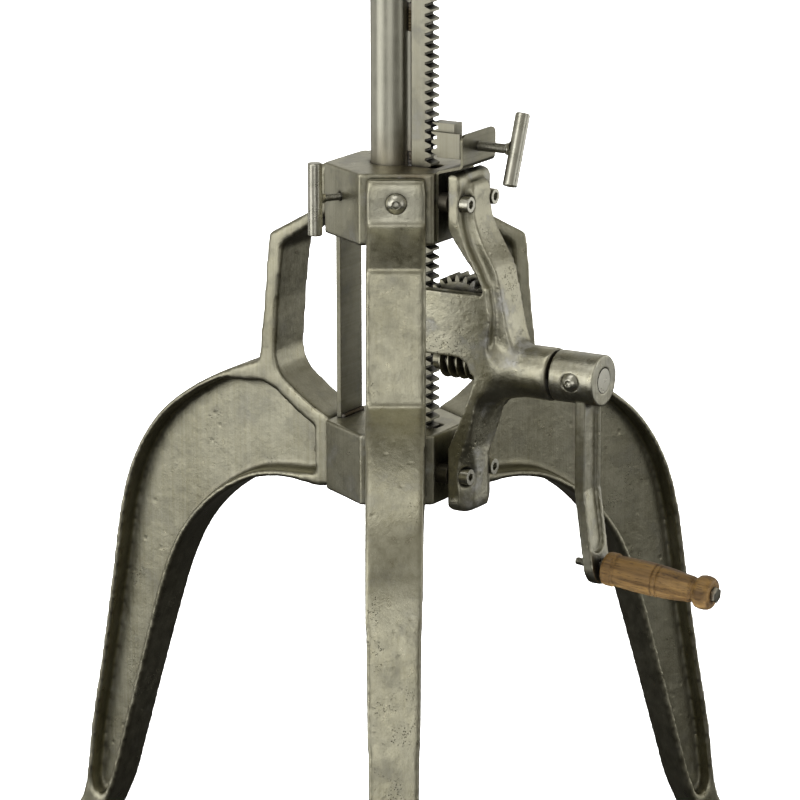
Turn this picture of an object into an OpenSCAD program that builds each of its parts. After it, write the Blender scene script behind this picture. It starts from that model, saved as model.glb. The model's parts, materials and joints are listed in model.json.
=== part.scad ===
// Crank-raised table base: three cast I-section legs bolted to two hexagonal
// collars, a tube column with a toothed rack, and a worm and wheel in a cast
// bracket that lift the column when the crank is turned.
// The origin is on the floor, on the collars' common axis. +Z is up and the
// front leg points to -Y. Gear parts use a local frame turned to the bracket's
// face: X runs out of that face, Y runs across it.

/* [Base] */
// Height of the upper collar's top face above the floor
collar_top_z = 630; // [620:1:645]
// Side of the hexagonal collars
collar_side = 59.5; // [58.5:0.5:60.5]
// Height of each collar
collar_h = 59; // [56:0.5:60]
// Open height between the two collars
collar_gap = 157.5; // [155:0.5:160]
// Width of a leg across its flanges
leg_w = 48; // [46:0.5:49]
// Thickness of a leg's web
web_t = 8; // [6:0.5:12]

/* [Column] */
// Outside diameter of the column tube
tube_d = 33.4; // [33:0.1:33.8]
// Wall of the column tube
tube_wall = 2.6; // [2:0.1:4]
// Length of the column tube
tube_len = 636; // [630:1:660]
// Height of the tube's lower end above the floor, at rest
tube_z = 254; // [240:1:260]
// Side of the square plate that carries the table top
plate_side = 220; // [180:5:240]
// Spacing of the four bolt holes in that plate
plate_pitch = 180; // [140:5:180]
// Thickness of that plate
plate_t = 6; // [5:0.5:10]

/* [Gears] */
// Module of rack, wheel and worm
gear_module = 2.5; // [2.45:0.05:2.5]
// Teeth on the rack
rack_teeth = 55; // [54:1:56]
// Width of the rack
rack_w = 14.5; // [13:0.5:15]
// Worm axis below the upper collar's top face
worm_drop = 159.5; // [159:0.5:160]
// How far the rack stands past mesh zero at rest
mesh_phase = 2.05; // [0:0.05:4]

/* [Crank] */
// Distance from the worm axis to the grip's axis
crank_throw = 153; // [145:1:160]
// Length of the wooden grip
grip_len = 97; // [90:1:105]
// Largest diameter of the wooden grip
grip_d = 28; // [26:0.5:30]
// Downward lean of the grip
grip_tilt = 4.7; // [0:0.1:8]

/* [Hidden] */
$fn = 64;

iron = [0.45, 0.44, 0.39];
steel = [0.58, 0.57, 0.53];
dark = [0.25, 0.24, 0.21];
wood = [0.55, 0.37, 0.2];

fit = 0.06;                  // radial running clearance
hole_gap = 0.05;             // radial gap of a screw in its hole
eps = 0.01;
face_r = collar_side * cos(30);
collar_low_top = collar_top_z - collar_h - collar_gap;
collar_low_z = collar_low_top - collar_h;
gear_az = -30;
lock_az = 210;

// Column and rack, in the gear frame
tube_x = -5.4;
plate_z = tube_z + tube_len;
pitch = PI * gear_module;
rack_tip_x = 36;
pitch_x = rack_tip_x - gear_module;
rack_root_x = pitch_x - 1.25 * gear_module;
rack_back_x = 17.2;
wheel_n = 24;
wheel_w = 18;
wheel_r = wheel_n * gear_module / 2;
wheel_x = pitch_x + wheel_r;
worm_r = 11.5;
worm_z = collar_top_z - worm_drop;
wheel_z = worm_z + worm_r + wheel_r;
// Lowest rack gap that still lies above the lower collar's bottom face
rack_z0 = wheel_z + mesh_phase - 18.5 * pitch;
slot_x = 40;
slot_gap = 0.35;

// Bracket, in the gear frame
br_in = 62.3;
br_half = 26;
cheek_t = 10;
cheek_in = br_half - cheek_t;
boss_end = 149.6;
boss_r = 21.7;
shaft_r = 10;
bush_wall = 3;
chamber_end = 90.5;
screw_y = 20;
head_seat = 73;
screw_up_z = collar_top_z - 24;
screw_low_z = collar_low_z + 25.5;
lip_low = 82;
band_low_z = collar_low_z - 5;
sheet_t = 2.5;
axle_r = 6;

// Crank, in the gear frame
hub_x0 = 152.2;
hub_x1 = 192.2;
hub_r = 21;
arm_x = 173.6;
arm_t = 9;
arm_half = 14.5;
arm_lean = 8;
grip_x = 190;
grip_z = worm_z - crank_throw;
grip_gap = 6.3;

// Screws: [diameter, head diameter, head height, socket across flats]
m8_cap = [8, 13, 8, 6];
m8_button = [8, 14, 4.4, 5];
m8_hub = [8, 15.5, 5, 5];
m10_button = [10, 17.5, 5.5, 6];

// Locking screws
lock_r = 3;
lock_y = -3;
lock_z = collar_top_z - 24;
lock_bar_x = 74.2;
lock_tip_x = 22.5;
bar_r = 6;
bar_len = 60;
pawl_r = 4;
pawl_z = collar_top_z + 20.5;
pawl_bar_x = 111;
pawl_turn = -21;
plate_x = 74.5;
pawl_x0 = 36.6;
pawl_x1 = 63;

// ---------- helpers ----------

// Places children in the frame of a face at azimuth a
module facing(a) { rotate([0, 0, a]) children(); }

// Extrudes an (X, Z) outline across Y, centred on y
module side_cut(pts, w, y = 0) {
    translate([0, y + w / 2, 0]) rotate([90, 0, 0]) linear_extrude(w) polygon(pts);
}

// Cylinder along X from x0 to x1
module rod_x(x0, x1, r, y = 0, z = 0) {
    translate([x0, y, z]) rotate([0, 90, 0]) cylinder(h = x1 - x0, r = r);
}

// Screw along X: the head's seat is at x0, head towards +X, shank towards -X
module screw_x(spec, x0, len, y = 0, z = 0) {
    translate([x0, y, z]) difference() {
        union() {
            rotate([0, 90, 0]) cylinder(h = spec[2], d = spec[1]);
            rod_x(-len, eps, spec[0] / 2);
        }
        translate([spec[2] * 0.45, 0, 0]) rotate([0, 90, 0])
            cylinder(h = spec[2], d = spec[3] / cos(30), $fn = 6);
    }
}

// Domed button-head screw along X, seat at x0
module button_x(spec, x0, len, y = 0, z = 0) {
    head_r = spec[1] / 2;
    dome = (head_r * head_r + spec[2] * spec[2]) / (2 * spec[2]);
    sweep = asin(head_r / dome);
    translate([x0, y, z]) rotate([0, 90, 0]) difference() {
        rotate_extrude() polygon(concat(
            [[0, -len], [spec[0] / 2, -len], [spec[0] / 2, 0]],
            [for (i = [5 : -1 : 1])
                [dome * sin(sweep * i / 5), spec[2] - dome + dome * cos(sweep * i / 5)]],
            [[0, spec[2]]]));
        translate([0, 0, spec[2] * 0.4]) cylinder(h = spec[2], d = spec[3] / cos(30), $fn = 6);
    }
}

// Catmull-Rom curve through the knots, n steps for each span
function cr(a, b, c, d, t) =
    0.5 * (2 * b + (c - a) * t + (2 * a - 5 * b + 4 * c - d) * t * t
    + (3 * b - a - 3 * c + d) * t * t * t);
function curve(k, n) = let (m = len(k) - 1) [
    for (i = [0 : m - 1], s = [0 : n - 1])
        cr(k[max(i - 1, 0)], k[i], k[i + 1], k[min(i + 2, m)], s / n),
    k[m]
];
// Moves a curve sideways to its right by d0 at its start and d1 at its end
function unit(v) = v / norm(v);
function shifted(c, d0, d1) = let (m = len(c) - 1) [
    for (i = [0 : m])
        let (v = unit(c[min(i + 1, m)] - c[max(i - 1, 0)]))
        c[i] + [v[1], -v[0]] * (d0 + (d1 - d0) * i / m)
];
function reversed(c) = [for (i = [len(c) - 1 : -1 : 0]) c[i]];
function raised(c, z) = [for (p = c) [p[0], p[1] + z]];

// ---------- collars ----------

corner_r = 3.5;
function hexagon(r, e) = let (rc = (r * cos(30) - e) / cos(30)) [
    for (k = [0 : 5], s = [-30 : 10 : 30])
        [rc * cos(60 * k) + e * cos(60 * k + s), rc * sin(60 * k) + e * sin(60 * k + s)]
];

module collar_body(z) {
    difference() {
        translate([0, 0, z]) linear_extrude(collar_h) polygon(hexagon(collar_side, corner_r));
        facing(gear_az) {
            translate([tube_x, 0, z - 1]) cylinder(h = collar_h + 2, r = tube_d / 2 + fit);
            translate([tube_x, -rack_w / 2 - slot_gap, z - 1])
                cube([slot_x - tube_x, rack_w + 2 * slot_gap, collar_h + 2]);
        }
    }
}

leg_screw_up = collar_top_z - 22.5;
leg_screw_low = collar_low_z + 29.5;
leg_screw_y = 14;
tap_depth = 15;

module upper_collar() {
    color(iron) difference() {
        collar_body(collar_top_z - collar_h);
        for (a = [30, 150, 270]) facing(a)
            rod_x(face_r - 18, face_r + 1, 5 + hole_gap, 0, leg_screw_up);
        facing(gear_az) for (s = [-1, 1])
            rod_x(face_r - tap_depth, face_r + 1, 4 + hole_gap, s * screw_y, screw_up_z);
        facing(lock_az) rod_x(10, face_r + 1, lock_r + fit, lock_y, lock_z);
    }
}

module lower_collar() {
    color(iron) difference() {
        collar_body(collar_low_z);
        for (a = [30, 150, 270], s = [-1, 1]) facing(a)
            rod_x(face_r - tap_depth, face_r + 1, 4 + hole_gap, s * leg_screw_y, leg_screw_low);
        facing(gear_az) for (s = [-1, 1])
            rod_x(face_r - tap_depth, face_r + 1, 4 + hole_gap, s * screw_y, screw_low_z);
    }
}

// Flat bar that holds the collars apart, beside the left leg
bar_x = -48.4;
bar_t = 4.5;
bar_w = 34;
module spacer_bar() {
    color(iron) facing(gear_az)
        translate([bar_x, -bar_w / 2, collar_low_top]) cube([bar_t, bar_w, collar_gap]);
}

weld = 3.5;
module spacer_bar_welds() {
    color(dark) facing(gear_az)
        for (end = [[collar_low_top, 1], [collar_top_z - collar_h, -1]])
            side_cut([
                [bar_x + bar_t, end[0]],
                [bar_x + bar_t + weld, end[0]],
                [bar_x + bar_t, end[0] + weld * end[1]]
            ], bar_w);
}

// ---------- legs ----------

pad_x = face_r + 10;
flange_x = face_r + 15;
rim_out = 5.5;
rim_in = 6;
foot_x0 = 306;
foot_x1 = 346;

// Outer edge of the arch from the notch to the toe; the first knots hang from
// the collars and the last ones stand on the floor
outer_edge = curve(concat(
    raised([[120.5, -175], [155.5, -188.7], [195, -211], [226.5, -239], [250, -278],
        [263.5, -322], [272.5, -375]], collar_top_z),
    [[285.5, 181], [299.5, 107], [307.5, 50], [318, 29], [335, 17]]), 6);
// Inner edge of the arch from the flange to the heel
inner_edge = curve(concat(
    raised([[66.5, -277], [100, -274], [131, -280], [162, -298], [184.5, -319],
        [201, -342], [216, -375]], collar_top_z),
    [[228.5, 217], [241, 175], [263.5, 99], [276, 57], [286, 34], [296, 16], [foot_x0, 0]]), 6);

function leg_outline() = concat(
    raised([[face_r, -2.5], [pad_x, -2.5], [pad_x, -39.5], [109.8, -66.5], [114.5, -120]],
        collar_top_z),
    outer_edge,
    [[343, 11], [foot_x1, 5], [foot_x1, 0]],
    reversed(inner_edge),
    raised([[face_r, -275.5], [face_r, -216.5], [66.8, -209], [81, -199.5], [96.5, -187.5],
        [102.5, -178.5], [104.4, -168], [101.4, -122.6], [95.7, -75], [face_r, -45]],
        collar_top_z));

// Panel between the rims, sunk from both sides of the leg
panel_skip = 7;
function slice(c, a, b) = [for (i = [a : b]) c[i]];
function leg_panel() = concat(
    raised([[flange_x, -266], [flange_x, -226], [86, -214], [103, -200], [116, -194]],
        collar_top_z),
    shifted(slice(outer_edge, panel_skip, len(outer_edge) - 14), rim_out, rim_out),
    [[299, 47], [293.5, 43], [287.5, 44.5]],
    reversed(shifted(slice(inner_edge, panel_skip, len(inner_edge) - 20), -rim_in, -rim_in)));

// Front view of a leg: it narrows towards the foot
foot_half = 0.4 * leg_w;
module leg_width() {
    rotate([90, 0, 90]) linear_extrude(foot_x1 + 10) polygon(concat(
        [[leg_w / 2, collar_top_z + 1], [leg_w / 2, collar_low_top + 20],
            [0.482 * leg_w, collar_low_z], [0.415 * leg_w, 170], [foot_half, -1]],
        [[-foot_half, -1], [-0.415 * leg_w, 170], [-0.482 * leg_w, collar_low_z],
            [-leg_w / 2, collar_low_top + 20], [-leg_w / 2, collar_top_z + 1]]));
}

module leg(a) {
    depth = (leg_w - web_t) / 2 + 1;
    color(iron) facing(a) difference() {
        intersection() {
            side_cut(leg_outline(), leg_w);
            leg_width();
        }
        for (s = [-1, 1]) {
            side_cut(leg_panel(), depth, s * (web_t + depth) / 2);
            rod_x(face_r - 1, flange_x + 1, 4 + hole_gap, s * leg_screw_y, leg_screw_low);
        }
        rod_x(face_r - 1, pad_x + 1, 5 + hole_gap, 0, leg_screw_up);
    }
}

module leg_front() { leg(270); }
module leg_right() { leg(30); }
module leg_left() { leg(150); }

module leg_upper_screws() {
    color(steel) for (a = [30, 150, 270]) facing(a)
        button_x(m10_button, pad_x, 24, 0, leg_screw_up);
}

module leg_lower_screws() {
    color(steel) for (a = [30, 150, 270], s = [-1, 1]) facing(a)
        button_x(m8_button, flange_x, 28, s * leg_screw_y, leg_screw_low);
}

// ---------- column ----------

module column_tube() {
    color(steel) facing(gear_az) translate([tube_x, 0, tube_z]) difference() {
        cylinder(h = tube_len, r = tube_d / 2);
        translate([0, 0, -1]) cylinder(h = tube_len + 2, r = tube_d / 2 - tube_wall);
    }
}

plug_h = 14;
module column_end_plug() {
    color(dark) facing(gear_az) translate([tube_x, 0, tube_z]) {
        cylinder(h = plug_h, r = tube_d / 2 - tube_wall - hole_gap);
        translate([0, 0, -2]) cylinder(h = 2, r = tube_d / 2 - 0.5);
    }
}

// Rack teeth and pawl teeth share one straight-sided form
flank = tan(20);
tooth_half = pitch / 4 - 0.12;
tip_half = tooth_half - gear_module * flank;
root_half = tooth_half + 1.25 * gear_module * flank;
function teeth(n, z, x_root, x_tip) = [
    for (i = [0 : n - 1], p = [[x_root, -root_half], [x_tip, -tip_half],
            [x_tip, tip_half], [x_root, root_half]])
        [p[0], z + (i + 0.5) * pitch + p[1]]
];

rack_bevel = 1;
module rack() {
    top = rack_z0 + rack_teeth * pitch;
    color(steel) facing(gear_az) intersection() {
        side_cut(concat([[rack_back_x, top], [rack_back_x, rack_z0], [rack_root_x, rack_z0]],
            teeth(rack_teeth, rack_z0, rack_root_x, rack_tip_x), [[rack_root_x, top]]), rack_w);
        translate([0, 0, rack_z0 - 1]) linear_extrude(top - rack_z0 + 2) polygon([
            [rack_back_x, rack_w / 2 - rack_bevel], [rack_back_x, -rack_w / 2 + rack_bevel],
            [rack_back_x + rack_bevel, -rack_w / 2], [rack_tip_x + 1, -rack_w / 2],
            [rack_tip_x + 1, rack_w / 2], [rack_back_x + rack_bevel, rack_w / 2]]);
    }
}

tab_h = 28;
tab_w = 6;
tab_step = 121.7;
module rack_weld_tabs() {
    color(dark) facing(gear_az) for (i = [0 : 3])
        translate([0, 0, collar_top_z + 120 - i * tab_step - tab_h / 2])
            linear_extrude(tab_h) polygon(concat(
                [[rack_back_x, tab_w / 2], [rack_back_x, -tab_w / 2]],
                [for (a = [-1 : 0.5 : 1])
                    let (b = a * asin(tab_w / tube_d))
                    [tube_x + (tube_d / 2 + 0.02) * cos(b), tube_d / 2 * sin(b)]]));
}

plate_corner = 18;
plate_hole = 9;
// Frame on the tube's upper end, square to the whole object's X and Y
module on_column_top() {
    translate([tube_x * cos(gear_az), tube_x * sin(gear_az), plate_z]) children();
}
module top_plate() {
    color(iron) on_column_top() difference() {
        linear_extrude(plate_t) polygon([
            for (k = [0 : 3], s = [-45 : 15 : 45])
                let (a = 90 * k + 45, c = (plate_side / 2 - plate_corner) * sqrt(2))
                [c * cos(a) + plate_corner * cos(a + s), c * sin(a) + plate_corner * sin(a + s)]
        ]);
        for (x = [-1, 1], y = [-1, 1])
            translate([x * plate_pitch / 2, y * plate_pitch / 2, -1])
                cylinder(h = plate_t + 2, d = plate_hole);
    }
}

gusset_h = 45;
gusset_w = 70;
gusset_t = 5;
module top_plate_gussets() {
    r = tube_d / 2;
    color(iron) on_column_top()
        for (a = [0 : 90 : 270]) rotate([0, 0, a])
            side_cut([[r, 0], [gusset_w, 0], [gusset_w, -8], [r + 6, -gusset_h], [r, -gusset_h]],
                gusset_t);
}

// ---------- gear bracket ----------

band_out = curve(raised([[73, -38], [80, -58], [91, -78], [98.5, -96], [101.5, -112],
    [101, -126], [98.5, -146], [95.5, -162], [91, -182], [85.5, -204], [lip_low, -226]],
    collar_top_z), 4);
band_in = curve(raised([[br_in, -44], [68, -54], [85, -76.5], [92.5, -88], [96, -101],
    [96.5, -118], [94.5, -140], [90, -158], [83.6, -175], [74.3, -201], [br_in, -228]],
    collar_top_z), 4);

module bracket_band() {
    side_cut(concat(
        [[73.5, collar_top_z - 6], [71.5, collar_top_z - 0.5], [67, collar_top_z + 0.7],
            [64.5, collar_top_z + 0.5], [br_in, collar_top_z - 2]],
        band_in,
        [[br_in, band_low_z + 3], [br_in + 3, band_low_z], [lip_low - 5, band_low_z],
            [lip_low - 1, band_low_z + 2], [lip_low, band_low_z + 8]],
        reversed(band_out)), 2 * br_half);
}

// Front view of the band: its ends are rounded in the plane of the face
end_round = 9;
module bracket_face() {
    rotate([90, 0, 90]) linear_extrude(200) polygon(concat(
        [for (a = [0 : 15 : 90])
            [br_half - 6 + 6 * cos(a), collar_top_z - 5 + 6 * sin(a)]],
        [for (a = [90 : 15 : 180])
            [-br_half + 4 + 4 * cos(a), collar_top_z - 3 + 4 * sin(a)]],
        [for (a = [180 : 15 : 270])
            [-br_half + end_round + end_round * cos(a), band_low_z + end_round * (1 + sin(a))]],
        [for (a = [270 : 15 : 360])
            [br_half - end_round + end_round * cos(a), band_low_z + end_round * (1 + sin(a))]]));
}

// The lower end is thickest near its middle; each side is planed back to
// bevel_x, and the cut runs out where the band leans away from the collar
bevel_x = 73.5;
bevel_top = collar_top_z - 236;
bevel_lean = 20;
module side_bevel(s, run) {
    cut = [[bevel_x, s * (br_half + 2)], [bevel_x, s * br_half], [lip_low + 1, s * (br_half - run)],
        [lip_low + 20, s * (br_half - run)], [lip_low + 20, s * (br_half + 2)]];
    translate([0, 0, band_low_z - 1]) linear_extrude(bevel_top - band_low_z + 1.5) polygon(cut);
    translate([bevel_x, 0, bevel_top]) rotate([0, bevel_lean, 0]) translate([-bevel_x, 0, 0])
        linear_extrude(60) polygon(cut);
}

cheek_x0 = 36;
cheek_top = collar_top_z - 96;
cheek_bot = collar_top_z - 149.5;
module bracket_cheeks() {
    for (s = [-1, 1])
        side_cut([
            [cheek_x0 + 3, cheek_top], [cheek_x0, cheek_top - 4], [cheek_x0, cheek_bot + 4],
            [cheek_x0 + 3, cheek_bot], [72, cheek_bot], [80, cheek_bot - 5], [83, cheek_bot - 14],
            [92, cheek_bot - 12], [99, cheek_bot + 20], [99, cheek_top + 8],
            [95.5, cheek_top + 3], [92, cheek_top]
        ], cheek_t, s * (br_half - cheek_t / 2));
}

rib_half = 17;
rib_top = 15;
module bracket_rib() {
    rib = curve(raised([[77, -7], [80, -14], [81.5, -36], [90.5, -57], [101, -75], [106, -92],
        [109.5, -111], [115, -132], [123, -150]], collar_top_z), 4);
    intersection() {
        side_cut(concat([[68, collar_top_z - 40], [71, collar_top_z - 7]], rib,
            [[123, worm_z], [94, worm_z], [95, collar_top_z - 112], [88, collar_top_z - 82]]),
            2 * rib_half);
        // The rib is a little narrower between the two upper screws
        rotate([90, 0, 90]) linear_extrude(200) polygon([
            [-rib_top + 5, collar_top_z - 5], [rib_top - 5, collar_top_z - 5],
            [rib_top, collar_top_z - 12], [rib_top, collar_top_z - 36],
            [rib_half, collar_top_z - 58], [rib_half, worm_z - 10], [-rib_half, worm_z - 10],
            [-rib_half, collar_top_z - 58], [-rib_top, collar_top_z - 36],
            [-rib_top, collar_top_z - 12]]);
    }
}

// Root of the boss, flared where it leaves the band
flare_x = 86;
module boss_root() {
    intersection() {
        translate([0, 0, worm_z]) rotate([0, 90, 0]) rotate_extrude() polygon([
            [0, flare_x], [boss_r + 12, flare_x], [boss_r + 11, 95], [boss_r + 6.5, 101],
            [boss_r + 3.4, 108], [boss_r + 1.3, 116], [boss_r, 124], [0, 124]]);
        translate([0, -br_half, worm_z - 60]) cube([200, 2 * br_half, 120]);
    }
}

head_pocket = 7.4;
module gear_bracket() {
    color(iron) facing(gear_az) difference() {
        union() {
            intersection() {
                bracket_band();
                bracket_face();
            }
            bracket_cheeks();
            bracket_rib();
            boss_root();
            rod_x(chamber_end, boss_end, boss_r, 0, worm_z);
        }
        // Bore for the bushes, then the chamber that the worm turns in
        rod_x(chamber_end - 1, boss_end + 1, shaft_r + bush_wall, 0, worm_z);
        rod_x(cheek_x0 - 5, chamber_end, worm_r + gear_module + 1.8, 0, worm_z);
        // Chamber for the wheel, between the cheeks
        translate([wheel_x, cheek_in, wheel_z]) rotate([90, 0, 0])
            cylinder(h = 2 * cheek_in, r = wheel_r + gear_module + 1);
        // Axle: blind in the front cheek, open in the rear one
        translate([wheel_x, br_half + 1, wheel_z]) rotate([90, 0, 0])
            cylinder(h = br_half + cheek_in + 7, r = axle_r + hole_gap);
        side_bevel(-1, 12);
        side_bevel(1, 22);
        // Each screw head sits in a slot that runs out of the side of the band
        for (s = [-1, 1], z = [screw_up_z, screw_low_z]) {
            rod_x(br_in - 1, 100, 4 + hole_gap, s * screw_y, z);
            rod_x(head_seat, 100, head_pocket, s * screw_y, z);
            translate([head_seat, s * (screw_y + 5) - 5, z - head_pocket])
                cube([30, 10, 2 * head_pocket]);
        }
    }
}

module spacer_ring(x0, x1, z) {
    for (s = [-1, 1]) translate([0, s * screw_y, z]) difference() {
        rod_x(x0, x1, 8);
        rod_x(x0 - 1, x1 + 1, 4 + hole_gap);
    }
}
module bracket_spacers_upper() {
    color(dark) facing(gear_az) spacer_ring(face_r + sheet_t, br_in, screw_up_z);
}
module bracket_spacers_lower() {
    color(dark) facing(gear_az) spacer_ring(face_r, br_in, screw_low_z);
}
module bracket_screws_upper() {
    color(steel) facing(gear_az) for (s = [-1, 1])
        screw_x(m8_cap, head_seat, 34, s * screw_y, screw_up_z);
}
module bracket_screws_lower() {
    color(steel) facing(gear_az) for (s = [-1, 1])
        screw_x(m8_cap, head_seat, 34, s * screw_y, screw_low_z);
}

bush_len = 20;
module shaft_bushes() {
    color([0.6, 0.45, 0.25]) facing(gear_az)
        for (x = [chamber_end, boss_end - bush_len]) difference() {
            rod_x(x, x + bush_len, shaft_r + bush_wall - hole_gap, 0, worm_z);
            rod_x(x - 1, x + bush_len + 1, shaft_r + fit, 0, worm_z);
        }
}

axle_end = br_half + 4;
module wheel_axle() {
    color(steel) facing(gear_az) translate([wheel_x, axle_end, wheel_z]) rotate([90, 0, 0])
        difference() {
            cylinder(h = axle_end + cheek_in + 5, r = axle_r);
            translate([0, 0, 1.6]) difference() {
                cylinder(h = 1.2, r = axle_r + 1);
                cylinder(h = 1.2, r = axle_r - 1);
            }
        }
}

module axle_clip() {
    color(dark) facing(gear_az) translate([wheel_x, axle_end - 1.65, wheel_z]) rotate([90, 0, 0])
        difference() {
            cylinder(h = 1.1, r = 10.5);
            translate([0, 0, -1]) cylinder(h = 3, r = axle_r - 0.95);
            translate([-3.5, -12, -1]) cube([7, 12, 3]);
        }
}

// ---------- wheel and worm ----------

base_r = wheel_r * cos(20);
function involute(r) = let (a = acos(min(1, base_r / r))) tan(a) * 180 / PI - a;
function half_angle(r) = 90 / wheel_n - 0.28 / wheel_r * 180 / PI / 2
    + (tan(20) * 180 / PI - 20) - involute(max(r, base_r));
flank_r = [
    wheel_r - 1.25 * gear_module, base_r, base_r + 0.8, wheel_r, wheel_r + 0.5 * gear_module,
    wheel_r + gear_module
];
function wheel_outline() = [
    for (i = [0 : wheel_n - 1], s = [-1, 1], j = [0 : 5])
        let (r = flank_r[s < 0 ? j : 5 - j],
            a = 180 + (i + 0.5) * 360 / wheel_n + s * half_angle(r)
                - mesh_phase / wheel_r * 180 / PI)
        [r * cos(a), r * sin(a)]
];

wheel_hub = cheek_in - 1.5;
module worm_wheel() {
    color(steel) facing(gear_az) translate([wheel_x, 0, wheel_z]) rotate([90, 0, 0])
        difference() {
            union() {
                translate([0, 0, -wheel_w / 2]) linear_extrude(wheel_w) polygon(wheel_outline());
                translate([0, 0, -wheel_hub]) cylinder(h = 2 * wheel_hub, r = 12);
            }
            translate([0, 0, -20]) cylinder(h = 40, r = axle_r + fit);
        }
}

module wheel_washers() {
    color(dark) facing(gear_az) for (s = [-1, 1])
        translate([wheel_x, s * (cheek_in + wheel_hub) / 2, wheel_z]) rotate([90, 0, 0])
            difference() {
                cylinder(h = 1.3, r = 11, center = true);
                cylinder(h = 3, r = axle_r + hole_gap, center = true);
            }
}

// Right-hand thread, thinned so that it clears the wheel's straight teeth
worm_x0 = 38.5;
worm_x1 = 88;
worm_core = worm_r - 1.25 * gear_module;
worm_bore = 6;
thread_steps = 24;
thread_thin = 0.45;
thread_mid = wheel_x - mesh_phase - pitch / 4;
thread_from = ceil((worm_x0 + 3.2 - thread_mid) / pitch * thread_steps);
thread_to = floor((worm_x1 - 3.2 - thread_mid) / pitch * thread_steps);
function thread_ring(i) =
    let (a = 360 * i / thread_steps, x = thread_mid + pitch * i / thread_steps,
        rise = min(1, (i - thread_from) / 8, (thread_to - i) / 8),
        top = worm_core + 0.3 + (worm_r + gear_module - worm_core - 0.3) * max(rise, 0))
    [for (p = [[-1, worm_core - 0.8], [-1, top], [1, top], [1, worm_core - 0.8]])
        let (half = pitch / 4 - thread_thin - (p[1] - worm_r) * flank)
        [x + p[0] * half, p[1] * cos(a), p[1] * sin(a)]];
module worm_thread() {
    n = thread_to - thread_from + 1;
    polyhedron(
        points = [for (i = [thread_from : thread_to], p = thread_ring(i)) p],
        faces = concat(
            [for (i = [0 : n - 2], j = [0 : 3])
                let (a = 4 * i + j, b = 4 * i + (j + 1) % 4)
                [a, b, b + 4, a + 4]],
            [[3, 2, 1, 0]],
            [[4 * n - 4, 4 * n - 3, 4 * n - 2, 4 * n - 1]]));
}

module worm() {
    color(steel) facing(gear_az) translate([0, 0, worm_z]) difference() {
        union() {
            rod_x(worm_x0, worm_x1, worm_core);
            worm_thread();
        }
        rod_x(worm_x0 - 1, worm_x1 + 1, worm_bore + hole_gap);
        translate([worm_x1 - 3.5, 0, -20]) cylinder(h = 40, r = 1.5 + hole_gap);
    }
}

module worm_pin() {
    color(dark) facing(gear_az) translate([worm_x1 - 3.5, 0, worm_z - 8])
        cylinder(h = 16, r = 1.5);
}

module crank_shaft() {
    color(steel) facing(gear_az) translate([0, 0, worm_z]) difference() {
        union() {
            rod_x(worm_x0, worm_x1 + 2.2, worm_bore);
            rod_x(worm_x1, hub_x1, shaft_r);
        }
        translate([worm_x1 - 3.5, 0, -20]) cylinder(h = 40, r = 1.5 + hole_gap);
        translate([hub_mid, 0, 0]) rotate([90, 0, 0]) cylinder(h = 30, r = 4 + hole_gap);
    }
}

module ring_x(x0, x1, r_out, r_in) {
    translate([0, 0, worm_z]) difference() {
        rod_x(x0, x1, r_out);
        rod_x(x0 - 1, x1 + 1, r_in);
    }
}
module thrust_washer() {
    color([0.6, 0.45, 0.25]) facing(gear_az)
        ring_x(worm_x1 + 0.15, chamber_end - 0.15, 13.5, shaft_r + hole_gap);
}
module shaft_collar() {
    color(dark) facing(gear_az) ring_x(boss_end + 0.2, hub_x0, 16, shaft_r + hole_gap);
}

// ---------- crank ----------

hub_mid = 172;
flat_y = hub_r - 1.7;
spot_r = 8.1;
arm_bend = worm_z - 92;
arm_end = grip_z;
arm_drop = 1.6;
function arm_x_at(z) = arm_x + max(0, arm_bend - z) * tan(arm_lean);
module arm_blank() {
    low = arm_end - arm_half - 5;
    side_cut([
        [arm_x, worm_z], [arm_x, arm_bend], [arm_x_at(low), low],
        [arm_x_at(low) + arm_t, low], [arm_x + arm_t, arm_bend + 1], [arm_x + arm_t, worm_z]
    ], 2 * arm_half);
}

channel = 3.5;
channel_half = 11.2;
channel_y = -0.6;
channel_low = arm_end + 10;
// A long slot across X, round at its lower end
module slot_x(half, y, z) {
    translate([0, y - half, z]) cube([300, 2 * half, crank_throw]);
    rod_x(0, 300, half, y, z);
}
// Channel along the arm's outer face
module arm_channel() {
    intersection() {
        side_cut([
            [arm_x + arm_t - channel, worm_z], [arm_x + arm_t - channel, arm_bend],
            [arm_x_at(channel_low) + arm_t - channel, channel_low],
            [arm_x_at(channel_low) + arm_t + 9, channel_low],
            [arm_x + arm_t + 9, arm_bend], [arm_x + arm_t + 6, worm_z]
        ], 2 * channel_half, channel_y);
        slot_x(channel_half, channel_y, channel_low + channel_half);
    }
}
module crank_arm() {
    color(iron) facing(gear_az) difference() {
        union() {
            rod_x(hub_x0, hub_x1, hub_r, 0, worm_z);
            difference() {
                intersection() {
                    arm_blank();
                    slot_x(arm_half, 0, arm_end - arm_drop);
                }
                arm_channel();
            }
        }
        rod_x(hub_x0 - 1, hub_x1 + 1, shaft_r + hole_gap, 0, worm_z);
        // Spot face and hole for the hub screw
        translate([hub_mid, -flat_y, worm_z]) rotate([90, 0, 0]) cylinder(h = 9, r = spot_r);
        translate([hub_mid, 0, worm_z]) rotate([90, 0, 0]) cylinder(h = 30, r = 4 + hole_gap);
        on_grip() rod_x(-40, 40, grip_bolt_r + hole_gap);
    }
}

module hub_screw() {
    color(steel) facing(gear_az) translate([hub_mid, -flat_y, worm_z]) rotate([0, 0, -90])
        button_x(m8_hub, 0, 16);
}

// Frame of the grip: X along its axis, zero where the axis leaves the arm
module on_grip() {
    translate([grip_x, 0, grip_z]) rotate([0, grip_tilt, 0]) children();
}

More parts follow.
